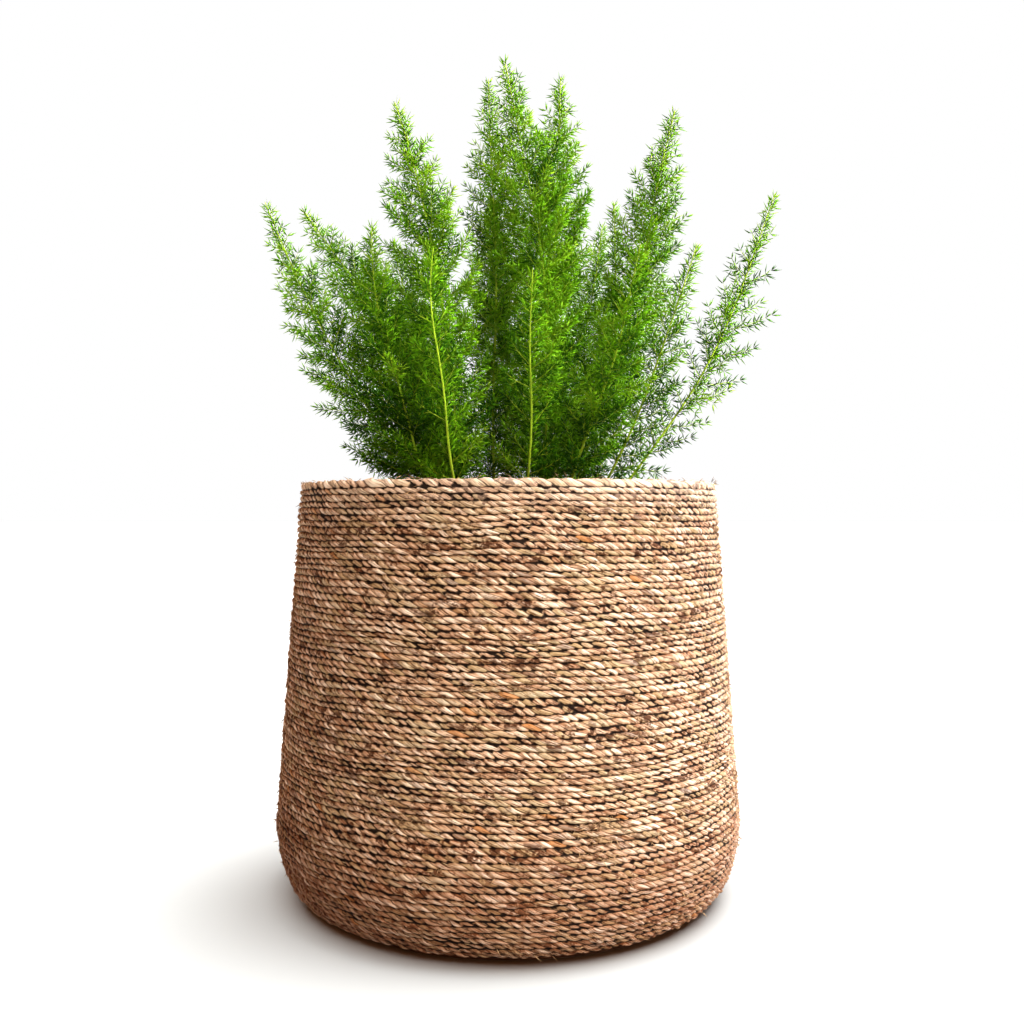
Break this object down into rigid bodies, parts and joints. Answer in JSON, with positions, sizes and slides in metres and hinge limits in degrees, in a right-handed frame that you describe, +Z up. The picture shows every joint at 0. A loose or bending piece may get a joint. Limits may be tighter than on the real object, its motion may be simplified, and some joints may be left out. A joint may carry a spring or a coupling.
{
  "type": "foxtail fern in a planter",
  "caption": "Foxtail fern with upright feathery plumes of needle leaves, growing in a tapered round planter wound with twisted seagrass cord.",
  "frame": {"origin": "centre of the base plate's flat underside, on the planter's axis", "axes": "+Z up along the planter's axis, -Y towards the viewer of the usual front view, +X to that viewer's right"},
  "size_m": [0.4578, 0.3958, 0.711],
  "materials": {
    "seagrass_cord": "dry twisted natural cord, tan with brown flecks",
    "brown_moulding": "smooth matt moulded shell",
    "potting_mix": "dark crumbly bark and peat mix",
    "fern_green": "fresh green needle leaves with a slight sheen"
  },
  "bodies": {
    "root": {"rope_winding": "seagrass_cord", "pot_shell": "brown_moulding", "potting_mix": "potting_mix", "stem_01": "fern_green", "stem_02": "fern_green", "stem_03": "fern_green", "stem_04": "fern_green", "stem_05": "fern_green", "stem_06": "fern_green", "stem_07": "fern_green", "stem_08": "fern_green", "stem_09": "fern_green", "stem_10": "fern_green", "stem_11": "fern_green", "stem_12": "fern_green", "stem_13": "fern_green", "stem_14": "fern_green", "stem_15": "fern_green", "stem_16": "fern_green", "stem_17": "fern_green"}
  },
  "joints": []
}
